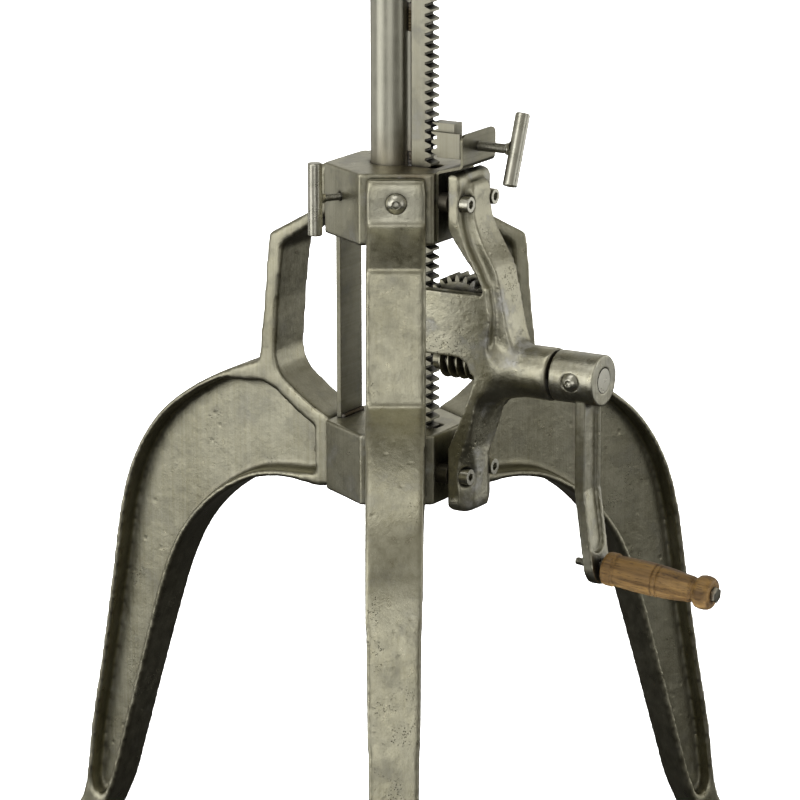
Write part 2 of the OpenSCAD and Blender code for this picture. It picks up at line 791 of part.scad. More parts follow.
// Hexagon bolt screwed through the arm; the grip turns on its shank
bolt_in = -21;
grip_bolt_r = 3.2;
bolt_head = grip_gap + grip_len + 0.3;
module grip_bolt() {
    color(steel) facing(gear_az) on_grip() {
        rod_x(bolt_in, bolt_head + 1, grip_bolt_r);
        translate([bolt_head, 0, 0]) rotate([0, 90, 0])
            cylinder(h = 4, d = 11.1 / cos(30), $fn = 6);
    }
}

// Thick washer between the arm's face and the wood
module grip_washer() {
    color(dark) facing(gear_az) on_grip() difference() {
        rod_x(2.75, grip_gap - 0.2, 6.5);
        rod_x(0, grip_gap + 1, grip_bolt_r + hole_gap);
    }
}

// Turned wood: bead, swelling body, neck and end bead
grip_bore = grip_bolt_r + 0.08;
module wood_grip() {
    r = grip_d / 2;
    body = concat(
        [[0, r - 1], [2, r], [10, r], [12, r - 1.2]],
        [for (s = [0 : 6]) [14 + 66 * s / 6, r - 0.9 + 0.8 * sin(150 * s / 6) - 0.2 * s]],
        [[grip_len - 15, r - 2.4], [grip_len - 12.5, r - 1.2], [grip_len - 9, r + 0.1],
            [grip_len - 5, r + 0.1], [grip_len - 2, r - 0.4], [grip_len - 0.5, r - 1.3],
            [grip_len, r - 2.4]]);
    color(wood) facing(gear_az) on_grip() translate([grip_gap, 0, 0]) rotate([0, 90, 0])
        rotate_extrude() polygon(concat(
            [for (p = body) [p[1], p[0]]], [[grip_bore, grip_len], [grip_bore, 0]]));
}

// ---------- locks ----------

pawl_half = 27;
sheet_low = collar_top_z - 56;
shelf_slope = 15;
bend_r = 3.25;
low_bend_z = collar_top_z - 2;
high_bend_z = collar_top_z + 9.2;
sheet_x0 = face_r + sheet_t / 2;
sheet_x1 = plate_x + sheet_t / 2;
function bend(x, z, a0, a1) = [
    for (i = [0 : 6]) let (a = a0 + (a1 - a0) * i / 6) [x + bend_r * cos(a), z + bend_r * sin(a)]
];
// Middle line of the bent sheet: up the collar's face, out as a shelf, up again
sheet_path = concat(
    [[sheet_x0, sheet_low], [sheet_x0, low_bend_z - 2]],
    bend(sheet_x0 + bend_r, low_bend_z, 180, 90 + shelf_slope),
    bend(sheet_x1 - bend_r, high_bend_z, shelf_slope - 90, 0),
    [[sheet_x1, high_bend_z + 2], [sheet_x1, high_bend_z + 4]]);
plate_top = collar_top_z + 33;
module pawl_bracket() {
    color(iron) facing(gear_az) difference() {
        union() {
            side_cut(concat(shifted(sheet_path, sheet_t / 2, sheet_t / 2),
                reversed(shifted(sheet_path, -sheet_t / 2, -sheet_t / 2))), 2 * br_half);
            rotate([90, 0, 90]) translate([0, 0, plate_x]) linear_extrude(sheet_t) polygon(concat(
                [[-br_half, high_bend_z + 1], [br_half, high_bend_z + 1],
                    [pawl_half, high_bend_z + 5]],
                [for (a = [0 : 15 : 90])
                    [pawl_half - 6 + 6 * cos(a), plate_top - 6 + 6 * sin(a)]],
                [for (a = [90 : 15 : 180])
                    [-pawl_half + 6 + 6 * cos(a), plate_top - 6 + 6 * sin(a)]]));
        }
        for (s = [-1, 1])
            rod_x(face_r - 1, face_r + sheet_t + 1, 4 + hole_gap, s * screw_y, screw_up_z);
        rod_x(plate_x - 1, plate_x + sheet_t + 1, pawl_r + fit, 0, pawl_z);
    }
}

module pawl_nut() {
    color(steel) facing(gear_az) translate([0, 0, pawl_z]) difference() {
        translate([plate_x - 6, 0, 0]) rotate([0, 90, 0])
            cylinder(h = 6, d = 13 / cos(30), $fn = 6);
        rod_x(plate_x - 7, plate_x + 1, pawl_r + fit);
    }
}

// Two toothed steps side by side that drop into the rack's gaps
// Each step: [from Y, to Y, teeth, low, high, end X]
pawl_depth = 5;
pawl_y = 1.75 - rack_w / 2;
pawl_steps = [
    [-rack_w / 2, pawl_y, 3, collar_top_z + 9, collar_top_z + 29.7, pawl_x1],
    [pawl_y, rack_w / 2, 4, collar_top_z + 13, collar_top_z + 37.1, pawl_x1 - 6]
];
module pawl_block() {
    gap_z = wheel_z + mesh_phase + 16.5 * pitch;
    body = pawl_x0 + pawl_depth;
    color(steel) facing(gear_az) difference() {
        for (p = pawl_steps)
            intersection() {
                side_cut(concat(
                    reversed(teeth(p[2], gap_z - pitch / 2, body, pawl_x0)),
                    [[body, p[3]], [p[5], p[3]], [p[5], p[4]], [body, p[4]]]),
                    p[1] - p[0], (p[0] + p[1]) / 2);
                translate([0, -rack_w / 2, p[3]]) cube([100, rack_w, p[4] - p[3]]);
            }
        rod_x(pawl_x1 - 16, pawl_x1 + 1, pawl_r + hole_gap, 0, pawl_z);
    }
}

module pawl_screw() {
    color(dark) facing(gear_az) rod_x(pawl_x1 - 15.9, pawl_bar_x - bar_r, pawl_r, 0, pawl_z);
}

module pawl_t_bar() {
    color(steel) facing(gear_az) translate([pawl_bar_x, 0, pawl_z]) rotate([pawl_turn, 0, 0])
        cylinder(h = bar_len, r = bar_r, center = true);
}

module collar_screw() {
    color(steel) facing(lock_az)
        rod_x(lock_tip_x, lock_bar_x - bar_r, lock_r, lock_y, lock_z);
}

module collar_t_bar() {
    color(steel) facing(lock_az) translate([lock_bar_x, lock_y, lock_z])
        cylinder(h = bar_len, r = bar_r, center = true);
}

upper_collar();
lower_collar();
spacer_bar();
spacer_bar_welds();
leg_front();
leg_right();
leg_left();
leg_upper_screws();
leg_lower_screws();
column_tube();
column_end_plug();
rack();
rack_weld_tabs();
top_plate();
top_plate_gussets();
gear_bracket();
bracket_spacers_upper();
bracket_spacers_lower();
bracket_screws_upper();
bracket_screws_lower();
shaft_bushes();
wheel_axle();
axle_clip();
worm_wheel();
wheel_washers();
worm();
crank_shaft();
worm_pin();
thrust_washer();
shaft_collar();
crank_arm();
hub_screw();
grip_bolt();
grip_washer();
wood_grip();
pawl_bracket();
pawl_nut();
pawl_block();
pawl_screw();
pawl_t_bar();
collar_screw();
collar_t_bar();
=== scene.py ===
"""Crank-raised cast-iron table base: looks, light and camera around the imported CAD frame."""

import json
import math
import random

import bmesh
import bpy
from mathutils import Matrix, Vector, kdtree


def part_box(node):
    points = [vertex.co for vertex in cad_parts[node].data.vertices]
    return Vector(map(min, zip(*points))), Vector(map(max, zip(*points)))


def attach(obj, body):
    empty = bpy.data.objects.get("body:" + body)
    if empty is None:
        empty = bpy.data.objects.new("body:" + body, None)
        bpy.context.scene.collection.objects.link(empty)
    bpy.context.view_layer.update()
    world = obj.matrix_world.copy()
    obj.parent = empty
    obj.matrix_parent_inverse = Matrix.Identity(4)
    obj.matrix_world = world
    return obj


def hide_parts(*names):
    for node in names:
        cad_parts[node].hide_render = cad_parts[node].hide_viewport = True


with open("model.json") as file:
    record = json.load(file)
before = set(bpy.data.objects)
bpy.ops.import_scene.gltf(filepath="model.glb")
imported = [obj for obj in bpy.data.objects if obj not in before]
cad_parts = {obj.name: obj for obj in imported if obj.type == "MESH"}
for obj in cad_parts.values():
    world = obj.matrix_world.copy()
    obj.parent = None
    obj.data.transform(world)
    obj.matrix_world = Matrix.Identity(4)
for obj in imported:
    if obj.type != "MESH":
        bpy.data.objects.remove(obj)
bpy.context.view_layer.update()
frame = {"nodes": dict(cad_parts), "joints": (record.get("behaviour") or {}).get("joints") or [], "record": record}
NODES = frame["nodes"]
BODY_OF = {n: b for b, ns in frame["record"]["behaviour"]["bodies"].items() for n in ns}
SLOT_OF = {s["node"]: s["material_slot"] for s in frame["record"]["subparts"]}
JOINTS = {j["name"]: j for j in frame["joints"]}

# ---------- directions and places, all from the frame ----------

UP = Vector((0, 0, 1))
OUT = Vector(JOINTS["pawl_travel"]["axis"])          # out of the bracket's face
ACROSS = UP.cross(OUT)                               # along the collar's side there
LOCK_OUT = Vector(JOINTS["collar_screw_travel"]["axis"])
GRIP_AXIS = Vector(JOINTS["grip_spin"]["axis"])


def centre(node):
    """Middle of a CAD node's box."""
    low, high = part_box(node)
    return (low + high) / 2


def span(node, axis):
    """How far a CAD node reaches along a direction, lowest and highest."""
    reach = [v.co.dot(axis) for v in NODES[node].data.vertices]
    return min(reach), max(reach)


def foot_of(node, axis):
    """Where the line along axis through a node's middle passes nearest the origin."""
    middle = centre(node)
    return middle - axis * middle.dot(axis)


def turned_to(axis, side=None):
    """Rotation that takes Z to axis and X to side, as near as it can."""
    z = axis.normalized()
    x = side or (UP if abs(z.dot(UP)) < 0.9 else Vector((1, 0, 0)))
    x = (x - z * x.dot(z)).normalized()
    y = z.cross(x)
    return Matrix((x, y, z)).transposed()


COLLAR_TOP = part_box("upper_collar")[1].z
COLLAR_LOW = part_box("lower_collar")[1].z
BOSS = centre("shaft_collar")
TUBE = centre("column_tube")
TUBE_R = (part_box("column_tube")[1].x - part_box("column_tube")[0].x) / 2
RIB_HALF = 0.017          # from the middle of the bracket's long rib to either foot line
HEAD_PROUD = 0.0055       # how far a leg's upper screw stands out of its pad
PAD_X = -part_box("leg_upper_screws")[0].y - HEAD_PROUD    # from the origin to a leg's upper pad
GRIP_R = 0.01385          # the wooden grip where it is thickest
BOLT_R = 0.0032           # the grip bolt's shank
BOLT_HEAD = 0.004         # how high its head is
BOLT_FLATS = 0.0111       # how wide its head is across the flats


# ---------- materials ----------

class Look:
    """Builds one procedural material; coordinates are the piece's own, in metres."""

    def __init__(self, name, metallic=1.0, **constants):
        self.material = bpy.data.materials.new(name)
        self.material.use_nodes = True
        self.tree = self.material.node_tree
        self.tree.nodes.clear()
        out = self.tree.nodes.new("ShaderNodeOutputMaterial")
        self.shader = self.tree.nodes.new("ShaderNodeBsdfPrincipled")
        self.tree.links.new(self.shader.outputs[0], out.inputs["Surface"])
        self.shader.inputs["Metallic"].default_value = metallic
        for socket, value in constants.items():
            self.shader.inputs[socket.replace("_", " ")].default_value = value
        self.place = self.tree.nodes.new("ShaderNodeTexCoord").outputs["Object"]

    def node(self, kind, **settings):
        made = self.tree.nodes.new("ShaderNode" + kind)
        for key, value in settings.items():
            setattr(made, key, value)
        return made

    def feed(self, node, **sources):
        """Links or sets a node's inputs by name."""
        for name, value in sources.items():
            socket = node.inputs[int(name[1:])] if name[1:].isdigit() else node.inputs[name]
            if isinstance(value, bpy.types.NodeSocket):
                self.tree.links.new(value, socket)
            else:
                socket.default_value = value
        return node

    def stretched(self, scale, axis=None):
        """Coordinates scaled by (x, y, z), in a frame whose Z is axis."""
        source = self.place
        if axis is not None:
            turn = self.node("Mapping", vector_type="POINT")
            turn.inputs["Rotation"].default_value = turned_to(axis).transposed().to_euler()
            self.tree.links.new(source, turn.inputs["Vector"])
            source = turn.outputs[0]
        mapping = self.node("Mapping")
        mapping.inputs["Scale"].default_value = scale
        self.tree.links.new(source, mapping.inputs["Vector"])
        return mapping.outputs[0]

    def noise(self, scale, detail=3.0, rough=0.55, place=None):
        made = self.node("TexNoise")
        return self.feed(made, Vector=place or self.place, Scale=scale, Detail=detail,
                         Roughness=rough).outputs["Fac"]

    def spots(self, scale, place=None):
        made = self.node("TexVoronoi", feature="F1")
        return self.feed(made, Vector=place or self.place, Scale=scale).outputs["Distance"]

    def span(self, source, low, high, a=0.0, b=1.0):
        made = self.node("MapRange", clamp=True)
        return self.feed(made, _0=source, _1=low, _2=high, _3=a, _4=b).outputs[0]

    def calc(self, operation, a, b=0.0):
        made = self.node("Math", operation=operation)
        return self.feed(made, _0=a, _1=b).outputs[0]

    def summed(self, a, share_a, b, share_b):
        return self.calc("ADD", self.calc("MULTIPLY", a, share_a),
                         self.calc("MULTIPLY", b, share_b))

    def blend(self, factor, a, b):
        made = self.node("Mix", data_type="RGBA")
        return self.feed(made, _0=factor, _6=a, _7=b).outputs[2]

    def corners(self, distance):
        """1 in tight inner corners, 0 in the open."""
        made = self.node("AmbientOcclusion", samples=6)
        made.inputs["Distance"].default_value = distance
        return self.span(made.outputs["AO"], 0.92, 0.35)

    def edges(self, low=0.52, high=0.6):
        """1 on outer edges of a dense mesh."""
        made = self.node("NewGeometry")
        return self.span(made.outputs["Pointiness"], low, high)

    def near(self, point, radius, soft):
        """1 within radius of a point, fading out over soft."""
        made = self.node("VectorMath", operation="DISTANCE")
        self.feed(made, _0=self.place, _1=point)
        return self.span(made.outputs["Value"], radius, radius + soft, 1.0, 0.0)

    def bump(self, height, depth, under=None):
        made = self.node("Bump")
        self.feed(made, Height=height, Distance=depth, Strength=1.0)
        if under is not None:
            self.tree.links.new(under, made.inputs["Normal"])
        return made.outputs[0]

    def set(self, colour=None, roughness=None, normal=None):
        for name, source in (("Base Color", colour), ("Roughness", roughness), ("Normal", normal)):
            if source is not None:
                self.tree.links.new(source, self.shader.inputs[name])
        return self.material


def rgb(r, g, b):
    return (r, g, b, 1.0)


NICKEL = rgb(0.50, 0.482, 0.37)
NICKEL_DULL = rgb(0.33, 0.31, 0.215)
# Colour of the painted shade in tight corners, and of dark pores
CORNER_SHADE_AND_GRIME = rgb(0.045, 0.038, 0.026)
HEAT = rgb(0.20, 0.125, 0.055)
# Colour of bright spots of painted light, which also stand for a face finished by grinding
GROUND_AND_LIT = rgb(0.58, 0.565, 0.455)
SHADED = rgb(0.12, 0.112, 0.075)


def metal(name, bright=NICKEL, dull=NICKEL_DULL, rough=(0.26, 0.42), cast=0.0, brush=None,
          pits=0.0, corner_shade=0.8, occlusion=0.014, heat=(), worn=False, oily=0.0, under=0.0,
          ground_and_lit=(), relief=0.0003):
    """Nickel-toned iron or steel.

    cast is how deep the cast skin is, brush the direction of its brushing, pits how many
    of the cast pores show, heat a list of (point, radius) where welding has tinted it,
    under how strongly faces that point downward are darkened (painted shade), ground the
    (point, radius) of bright spots of painted light that also stand for a face finished by grinding,
    grime how strongly tight inner corners are darkened (painted shade) as far as occlusion
    reaches, relief how deep the surface texture is, oily how strong the oil stains are.
    """
    look = Look(name)
    cloud = look.noise(16, 4, 0.6)
    mottle = look.noise(95, 5, 0.62)
    tone = look.summed(cloud, 0.55, mottle, 0.45)
    if brush is not None:
        hair = look.noise(1.0, 3, 0.6, look.stretched((2600, 2600, 18), brush))
        broad = look.noise(1.0, 3, 0.5, look.stretched((420, 420, 4), brush))
        hairs = look.summed(hair, 0.5, broad, 0.5)
        tone = look.summed(tone, 0.6, hairs, 0.4)
    colour = look.blend(look.span(tone, 0.38, 0.62), dull, bright)
    for point, radius in heat:
        patch = look.calc("MULTIPLY", look.near(point, radius * 0.4, radius),
                          look.span(cloud, 0.3, 0.6))
        colour = look.blend(look.calc("MULTIPLY", patch, 0.75), colour, HEAT)
    # Painted light: a bright spot raised on the base colour, which also stands for a face finished by grinding
    for point, radius in ground_and_lit:
        spot = look.calc("MULTIPLY", look.near(point, radius * 0.6, radius * 0.5),
                         look.span(cloud, 0.35, 0.6, 0.4, 1))
        colour = look.blend(spot, colour, GROUND_AND_LIT)
    # Painted shade: faces that point downward are darkened towards SHADED, up to the share given by under
    if under:
        facing = look.node("SeparateXYZ")
        look.feed(facing, Vector=look.node("NewGeometry").outputs["Normal"])
        downward = look.span(facing.outputs["Z"], -0.05, -0.28, 0.0, under)
        colour = look.blend(downward, colour, SHADED)
    # Painted shade: darker in tight inner corners, found by ambient occlusion and made patchy by the mottle
    shade_and_dirt = look.calc("MULTIPLY", look.corners(occlusion), look.span(mottle, 0.25, 0.55, 0.45, 1.0))
    shade_and_dirt = look.calc("MULTIPLY", shade_and_dirt, corner_shade)
    shade_and_dirt_colour = CORNER_SHADE_AND_GRIME
    if oily:
        oil = look.span(look.noise(38, 4, 0.65), 0.5, 0.68, 0.0, oily)
        shade_and_dirt = look.calc("MAXIMUM", shade_and_dirt, oil)
        # Known fault: the oil mask's grey, not the corner-shade colour, colours the painted corner shade and the
        # stains here
        shade_and_dirt_colour = oil
    height = look.calc("MULTIPLY", look.noise(520, 4, 0.65), 0.35)
    if cast:
        skin = look.calc("ADD", look.calc("MULTIPLY", look.noise(210, 4, 0.6), cast), height)
        height = look.calc("ADD", skin, look.calc("MULTIPLY", look.noise(60, 3, 0.5), cast * 0.7))
    if brush is not None:
        height = look.calc("ADD", height, look.calc("MULTIPLY", hairs, 0.5))
    if pits:
        where = look.span(look.noise(24, 3, 0.6), 0.70 - 0.16 * pits, 0.80 - 0.16 * pits)
        pore = look.calc("MULTIPLY", look.span(look.spots(520), 0.28, 0.10), where)
        height = look.calc("SUBTRACT", height, look.calc("MULTIPLY", pore, 1.4))
        shade_and_dirt = look.calc("MAXIMUM", shade_and_dirt, look.calc("MULTIPLY", pore, 0.75))
    # The painted corner shade, the oil stains and the dark pores go into the colour here
    colour = look.blend(shade_and_dirt, colour, shade_and_dirt_colour)
    if worn:
        colour = look.blend(look.calc("MULTIPLY", look.edges(), 0.55), colour, rgb(0.66, 0.64, 0.53))
    spread = look.span(mottle, 0.3, 0.7, *rough)
    roughness = look.calc("ADD", spread, look.calc("MULTIPLY", shade_and_dirt, 0.25))
    return look.set(colour, roughness, look.bump(height, relief))


def wood_look():
    """Oiled open-grained wood, the grain along the grip."""
    look = Look("grip_wood_grain", 0.0, Specular_IOR_Level=0.4)
    along = look.stretched((150, 150, 9), GRIP_AXIS)
    bands = look.noise(1.0, 4, 0.6, along)
    pores = look.noise(1.0, 2, 0.5, look.stretched((1500, 1500, 70), GRIP_AXIS))
    dashes = look.span(pores, 0.60, 0.68)
    colour = look.blend(look.span(bands, 0.35, 0.65), rgb(0.10, 0.052, 0.013),
                        rgb(0.33, 0.195, 0.062))
    colour = look.blend(look.calc("MULTIPLY", dashes, 0.8), colour, rgb(0.03, 0.017, 0.007))
    # Painted shade: the wood is darkened in tight inner corners, found by ambient occlusion
    colour = look.blend(look.corners(0.004), colour, rgb(0.03, 0.015, 0.006))
    height = look.calc("SUBTRACT", look.calc("MULTIPLY", bands, 0.4),
                       look.calc("MULTIPLY", dashes, 0.8))
    return look.set(colour, look.span(bands, 0.3, 0.7, 0.52, 0.38), look.bump(height, 0.0003))


def plastic_look():
    look = Look("plug_plastic_moulded", 0.0)
    grain = look.noise(900, 2, 0.5)
    colour = look.blend(look.noise(60, 2, 0.5), rgb(0.012, 0.012, 0.012), rgb(0.03, 0.03, 0.028))
    return look.set(colour, look.span(grain, 0.3, 0.7, 0.4, 0.6), look.bump(grain, 0.0001))


# The legs carry painted shade on downward faces and in corners, and a spot of painted light on the front leg's
# upper pad
CAST_LEG = metal("cast_nickel_leg", cast=0.55, pits=0.75, worn=True, brush=UP, oily=0.25,
                 under=0.4, occlusion=0.013,
                 ground_and_lit=[(Vector((0, -PAD_X, COLLAR_TOP - 0.024)), 0.026)])
CAST_ROUGH = metal("cast_nickel_rough", bright=rgb(0.57, 0.55, 0.43), dull=rgb(0.40, 0.38, 0.275),
                   rough=(0.27, 0.42), cast=0.75, pits=1.0, worn=True, oily=0.65, relief=0.0004)
COLLAR = metal("collar_nickel", cast=0.4, pits=0.3, worn=True, brush=UP, oily=0.45,
               heat=[(Vector((0.02, -0.03, COLLAR_TOP)), 0.03)])
TUBE_LOOK = metal("tube_polished", bright=rgb(0.62, 0.605, 0.50), dull=rgb(0.42, 0.41, 0.33),
                  rough=(0.36, 0.44), brush=UP, relief=0.00006, corner_shade=0.25, occlusion=0.005,
                  heat=[(TUBE.xy.to_3d() + UP * (COLLAR_TOP + 0.006), 0.022)])
PLATE = metal("plate_brushed", bright=rgb(0.32, 0.308, 0.236), dull=rgb(0.20, 0.188, 0.13),
              rough=(0.3, 0.42), brush=ACROSS, relief=0.00015, oily=0.25,
              heat=[(centre("pawl_block") - OUT * 0.01, 0.02)])
GEAR = metal("gear_steel_oiled", dull=rgb(0.24, 0.225, 0.165), rough=(0.26, 0.4), corner_shade=1.0,
             occlusion=0.008, oily=0.55)
RACK = metal("rack_steel", bright=rgb(0.37, 0.357, 0.285), dull=rgb(0.27, 0.255, 0.19),
             rough=(0.3, 0.42), brush=UP, relief=0.00015, corner_shade=1.0, occlusion=0.008, oily=0.3)
SCREW = metal("screw_steel_bright", bright=rgb(0.68, 0.665, 0.57), dull=rgb(0.46, 0.445, 0.36),
              rough=(0.24, 0.34), corner_shade=0.9, occlusion=0.003, oily=0.12)
SPACER = metal("spacer_steel_dark", bright=rgb(0.22, 0.205, 0.16), dull=rgb(0.10, 0.09, 0.07),
               rough=(0.4, 0.55))
WELD = metal("weld_bead_burnt", bright=rgb(0.20, 0.16, 0.10), dull=rgb(0.08, 0.06, 0.035),
             rough=(0.35, 0.5), cast=1.2, oily=0.6)
BRONZE = metal("bush_bronze", bright=rgb(0.55, 0.37, 0.17), dull=rgb(0.35, 0.22, 0.09),
               rough=(0.3, 0.42))
HUB = metal("crank_nickel", bright=rgb(0.60, 0.585, 0.48), rough=(0.25, 0.38), cast=0.25,
            pits=0.25, worn=True, brush=UP, oily=0.45)
WOOD = wood_look()
PLASTIC = plastic_look()


# ---------- helpers that make pieces ----------

DOMED = ("leg_upper_screws", "leg_lower_screws", "hub_screw")


def finished(piece, body, material, replaced=()):
    """Puts a piece on its body and gives it its material."""
    piece.data.materials.clear()
    piece.data.materials.append(material)
    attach(piece, body)
    if replaced:
        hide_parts(*replaced)
    return piece


def smooth_shaded(mesh, angle):
    mesh.shade_smooth()
    mesh.set_sharp_from_angle(angle=math.radians(angle))


def piece_from(mesh, name):
    piece = bpy.data.objects.new(name, mesh)
    bpy.context.scene.collection.objects.link(piece)
    return piece


def settled(piece):
    """Makes the piece's modifiers part of its mesh."""
    graph = bpy.context.evaluated_depsgraph_get()
    mesh = bpy.data.meshes.new_from_object(piece.evaluated_get(graph))
    piece.modifiers.clear()
    old = piece.data
    piece.data = mesh
    bpy.data.meshes.remove(old)


def joined_copy(node, merge=True):
    """A closed bmesh of a CAD node, flat faces merged into one each."""
    bm = bmesh.new()
    bm.from_mesh(NODES[node].data)
    bmesh.ops.remove_doubles(bm, verts=bm.verts, dist=2e-6)
    if merge:
        bmesh.ops.dissolve_limit(bm, angle_limit=math.radians(0.6), verts=bm.verts, edges=bm.edges)
    return bm


def machined(node, material, edge=0.0004, sharp=28, smooth=40):
    """A machined sub-part: the CAD shape with its sharp edges broken, its flat faces flat."""
    bm = joined_copy(node, node not in DOMED)
    if node not in DOMED:
        hard = [e for e in bm.edges if e.is_manifold and e.calc_face_angle(0) > math.radians(sharp)]
        bmesh.ops.bevel(bm, geom=hard, offset=edge, offset_type="OFFSET", segments=2, profile=0.5,
                        affect="EDGES", clamp_overlap=True)
    mesh = bpy.data.meshes.new(node + "_machined")
    bm.to_mesh(mesh)
    bm.free()
    smooth_shaded(mesh, smooth)
    piece = piece_from(mesh, node + "_machined")
    flat = piece.modifiers.new("flat", "WEIGHTED_NORMAL")
    flat.mode = "FACE_AREA"
    flat.weight = 100
    flat.keep_sharp = True
    settled(piece)
    return finished(piece, BODY_OF[node], material, [node])


def cast(node, material, voxel, rounds, blends=(), grain=0.0003, pores=(), seed=1, edge=0.0014):
    """A casting: edges rounded by edge and by smoothing, fillets, an uneven skin, and pores.

    blends are (points, radius, rounds) where a deeper fillet runs; pores are
    (point, reach, count, radius, depth) groups of open pores.
    """
    bm = joined_copy(node)
    hard = [e for e in bm.edges if e.is_manifold and e.calc_face_angle(0) > math.radians(35)]
    bmesh.ops.bevel(bm, geom=hard, offset=edge, offset_type="OFFSET", segments=2, profile=0.5,
                    affect="EDGES", clamp_overlap=True)
    mesh = bpy.data.meshes.new(node + "_cast")
    bmesh.ops.triangulate(bm, faces=bm.faces)
    bm.to_mesh(mesh)
    bm.free()
    piece = piece_from(mesh, node + "_cast")
    remesh = piece.modifiers.new("skin", "REMESH")
    remesh.mode = "VOXEL"
    remesh.voxel_size = voxel
    settled(piece)
    for number, (points, radius, turns) in enumerate(blends):
        group = piece.vertex_groups.new(name=f"fillet_{number}")
        for v in piece.data.vertices:
            weight = 1 - min((v.co - point).length for point in points) / radius
            if weight > 0:
                group.add([v.index], min(1.0, weight * 2), "REPLACE")
        fillet = piece.modifiers.new("fillet", "SMOOTH")
        fillet.vertex_group = group.name
        fillet.factor = 0.5
        fillet.iterations = turns
    soft = piece.modifiers.new("soft", "SMOOTH")
    soft.factor = 0.5
    soft.iterations = rounds
    for scale, strength in ((0.022, grain * 1.6), (0.006, grain)):
        skin = bpy.data.textures.new(f"{node}_{scale}", "CLOUDS")
        skin.noise_scale = scale
        skin.noise_depth = 2
        uneven = piece.modifiers.new("uneven", "DISPLACE")
        uneven.texture = skin
        uneven.texture_coords = "LOCAL"
        uneven.mid_level = 0.62
        uneven.strength = strength
    settled(piece)
    piece.vertex_groups.clear()
    open_pores(piece.data, pores, random.Random(seed))
    low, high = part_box(node)
    for v in piece.data.vertices:
        v.co = [min(max(c, a), b) for c, a, b in zip(v.co, low, high)]
    piece.data.shade_smooth()
    return finished(piece, BODY_OF[node], material, [node])


def open_pores(mesh, groups, dice):
    """Sinks small round pores into the skin round each group's point."""
    if not groups:
        return
    tree = kdtree.KDTree(len(mesh.vertices))
    for v in mesh.vertices:
        tree.insert(v.co, v.index)
    tree.balance()
    normals = [v.normal.copy() for v in mesh.vertices]
    for point, reach, count, radius, depth in groups:
        near = tree.find_range(point, reach)
        if not near:
            continue
        for _ in range(count):
            spot, index, _ = near[dice.randrange(len(near))]
            size = radius * dice.uniform(0.6, 1.4)
            for co, i, distance in tree.find_range(spot, size * 1.6):
                fall = math.exp(-(distance / size * 1.5) ** 2)
                mesh.vertices[i].co -= normals[index] * depth * fall * dice.uniform(0.9, 1.1)


def grid_mesh(name, rings):
    """A closed skin over rings of points, each ring a loop of the same count."""
    bm = bmesh.new()
    rows = [[bm.verts.new(p) for p in ring] for ring in rings]
    count = len(rows[0])
    for low, high in zip(rows, rows[1:]):
        for i in range(count):
            bm.faces.new((low[i], low[(i + 1) % count], high[(i + 1) % count], high[i]))
    bm.faces.new(list(reversed(rows[0])))
    bm.faces.new(rows[-1])
    bmesh.ops.recalc_face_normals(bm, faces=bm.faces)
    mesh = bpy.data.meshes.new(name)
    bm.to_mesh(mesh)
    bm.free()
    return mesh


def turned(name, profile, origin, axis, around=64, stretch=(1, 1), side=None):
    """A lathe-turned mesh; profile is (distance along axis, radius) pairs."""
    turn = turned_to(axis, side)
    rings = []
    for along, radius in profile:
        ring = []
        for i in range(around):
            a = math.tau * i / around
            ring.append(origin + turn @ Vector((radius * stretch[0] * math.cos(a),
                                                radius * stretch[1] * math.sin(a), along)))
        rings.append(ring)
    return grid_mesh(name, rings)


def threaded(name, origin, axis, start, end, radius, pitch, chamfer=0.0006):
    """A rod with a rolled screw thread between start and end along axis."""
    around = 28
    per_turn = 8
    depth = 0.58 * pitch
    turn = turned_to(axis)
    steps = int((end - start) / pitch * per_turn)
    rings = []
    for k in range(steps + 1):
        along = start + (end - start) * k / steps
        limit = radius - max(0, chamfer - (along - start), chamfer - (end - along))
        ring = []
        for i in range(around):
            phase = (along / pitch - i / around) % 1.0
            ridge = min(1.0, max(0.0, 1.5 - abs(phase - 0.5) * 4.2))
            r = min(radius - depth * (1 - ridge), limit)
            a = math.tau * i / around
            ring.append(origin + turn @ Vector((r * math.cos(a), r * math.sin(a), along)))
        rings.append(ring)
    return grid_mesh(name, rings)


def bead(name, points, radius, seed, ripple=0.0028):
    """A weld bead along points: overlapping ripples on a lumpy tube."""
    dice = random.Random(seed)
    around = 12
    rings = []
    length = sum((b - a).length for a, b in zip(points, points[1:]))
    steps = max(10, int(length / 0.0005))
    for k in range(steps + 1):
        s = k / steps * (len(points) - 1)
        i = min(int(s), len(points) - 2)
        place = points[i].lerp(points[i + 1], s - i)
        along = (points[i + 1] - points[i]).normalized()
        turn = turned_to(along)
        wave = 0.86 + 0.14 * abs(math.sin(math.pi * k / steps * length / ripple))
        end = min(1.0, 0.35 + 3 * min(k, steps - k) * (length / steps) / radius)
        r = radius * wave * min(1.0, end) * dice.uniform(0.96, 1.04)
        rings.append([place + turn @ Vector((r * math.cos(a), r * math.sin(a), 0))
                      for a in (math.tau * j / around for j in range(around))])
    mesh = grid_mesh(name, rings)
    mesh.shade_smooth()
    return mesh


def made(mesh, name, body, slot, material, replaced=(), smooth=50):
    """A new piece from a mesh."""
    if smooth:
        smooth_shaded(mesh, smooth)
    mesh.name = name
    return finished(piece_from(mesh, name), body, material, replaced)


# ---------- castings ----------

def rib_sides():
    """Points along both foot lines of the bracket's long rib."""
    bracket = NODES["gear_bracket"]
    low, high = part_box("gear_bracket")
    levels = 33
    far_out = 0.3      # the rays start in front of the whole bracket
    flange = 0.06      # anything nearer the axis than this is behind the rib
    points = []
    for side in (-RIB_HALF, RIB_HALF):
        for k in range(levels):
            z = low.z + (high.z - low.z) * (k + 0.5) / levels
            start = OUT * far_out + ACROSS * (side * 1.06) + UP * z
            hit, place, _, _ = bracket.ray_cast(start, -OUT)
            if hit and place.dot(OUT) > flange:
                points.append(place)
    return points


